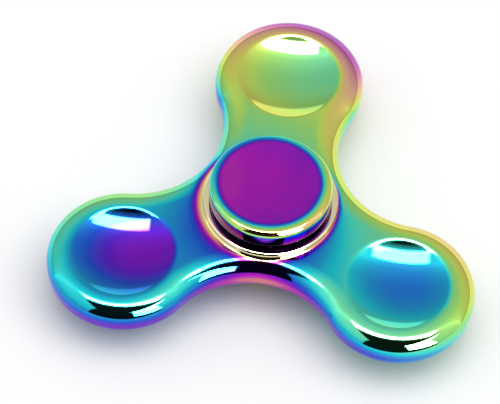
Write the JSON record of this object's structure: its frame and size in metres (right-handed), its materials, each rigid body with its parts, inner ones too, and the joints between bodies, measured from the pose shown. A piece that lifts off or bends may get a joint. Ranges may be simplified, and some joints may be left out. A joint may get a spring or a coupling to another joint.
{
  "type": "fidget spinner",
  "caption": "Three-lobed hand spinner: a rainbow-filmed metal body with finger dishes, turning on a ball bearing between two round finger caps.",
  "frame": {"origin": "on the spin axis, at the middle plane of the bearing", "axes": "+Z along the spin axis to the upper cap, +Y along one lobe, +X to the right across the other two"},
  "size_m": [0.076, 0.0695, 0.0167],
  "materials": {
    "rainbow_film": "polished metal under a rainbow interference film",
    "cap_film": "polished metal under a violet interference film",
    "stud_steel": "black oxide",
    "ring_steel": "ground",
    "ball_steel": "polished",
    "cage_steel": "pressed, satin",
    "shield_steel": "pressed, satin"
  },
  "bodies": {
    "hub": {"lower_cap": "cap_film", "upper_cap": "cap_film", "centre_stud": "stud_steel", "bearing_inner_ring": "ring_steel"},
    "rotor": {"body": "rainbow_film", "bearing_outer_ring": "ring_steel", "upper_shield": "shield_steel", "lower_shield": "shield_steel", "upper_snap_ring": "shield_steel", "lower_snap_ring": "shield_steel"},
    "cage": {"cage_upper": "cage_steel", "cage_lower": "cage_steel", "cage_rivets": "cage_steel"},
    "ball_1": {"ball_1": "ball_steel"},
    "ball_2": {"ball_2": "ball_steel"},
    "ball_3": {"ball_3": "ball_steel"},
    "ball_4": {"ball_4": "ball_steel"},
    "ball_5": {"ball_5": "ball_steel"},
    "ball_6": {"ball_6": "ball_steel"},
    "ball_7": {"ball_7": "ball_steel"}
  },
  "joints": [
    {"name": "rotor_spin", "type": "hinge", "parent": "hub", "child": "rotor", "pos_m": [0, 0, 0], "axis": [0, 0, 1], "continuous": true},
    {"name": "cage_orbit", "type": "hinge", "parent": "hub", "child": "cage", "pos_m": [0, 0, 0], "axis": [0, 0, 1], "continuous": true},
    {"name": "ball_1_spin", "type": "hinge", "parent": "cage", "child": "ball_1", "pos_m": [0, 0.0075, 0], "axis": [0, 0, 1], "continuous": true},
    {"name": "ball_2_spin", "type": "hinge", "parent": "cage", "child": "ball_2", "pos_m": [-0.00586, 0.00468, 0], "axis": [0, 0, 1], "continuous": true},
    {"name": "ball_3_spin", "type": "hinge", "parent": "cage", "child": "ball_3", "pos_m": [-0.00731, -0.00167, 0], "axis": [0, 0, 1], "continuous": true},
    {"name": "ball_4_spin", "type": "hinge", "parent": "cage", "child": "ball_4", "pos_m": [-0.00325, -0.00676, 0], "axis": [0, 0, 1], "continuous": true},
    {"name": "ball_5_spin", "type": "hinge", "parent": "cage", "child": "ball_5", "pos_m": [0.00325, -0.00676, 0], "axis": [0, 0, 1], "continuous": true},
    {"name": "ball_6_spin", "type": "hinge", "parent": "cage", "child": "ball_6", "pos_m": [0.00731, -0.00167, 0], "axis": [0, 0, 1], "continuous": true},
    {"name": "ball_7_spin", "type": "hinge", "parent": "cage", "child": "ball_7", "pos_m": [0.00586, 0.00468, 0], "axis": [0, 0, 1], "continuous": true}
  ],
  "couplings": [
    {"joint": "cage_orbit", "follows": "rotor_spin", "ratio": 0.63227},
    {"joint": "ball_1_spin", "follows": "rotor_spin", "ratio": 1.7579},
    {"joint": "ball_2_spin", "follows": "rotor_spin", "ratio": 1.7579},
    {"joint": "ball_3_spin", "follows": "rotor_spin", "ratio": 1.7579},
    {"joint": "ball_4_spin", "follows": "rotor_spin", "ratio": 1.7579},
    {"joint": "ball_5_spin", "follows": "rotor_spin", "ratio": 1.7579},
    {"joint": "ball_6_spin", "follows": "rotor_spin", "ratio": 1.7579},
    {"joint": "ball_7_spin", "follows": "rotor_spin", "ratio": 1.7579}
  ]
}
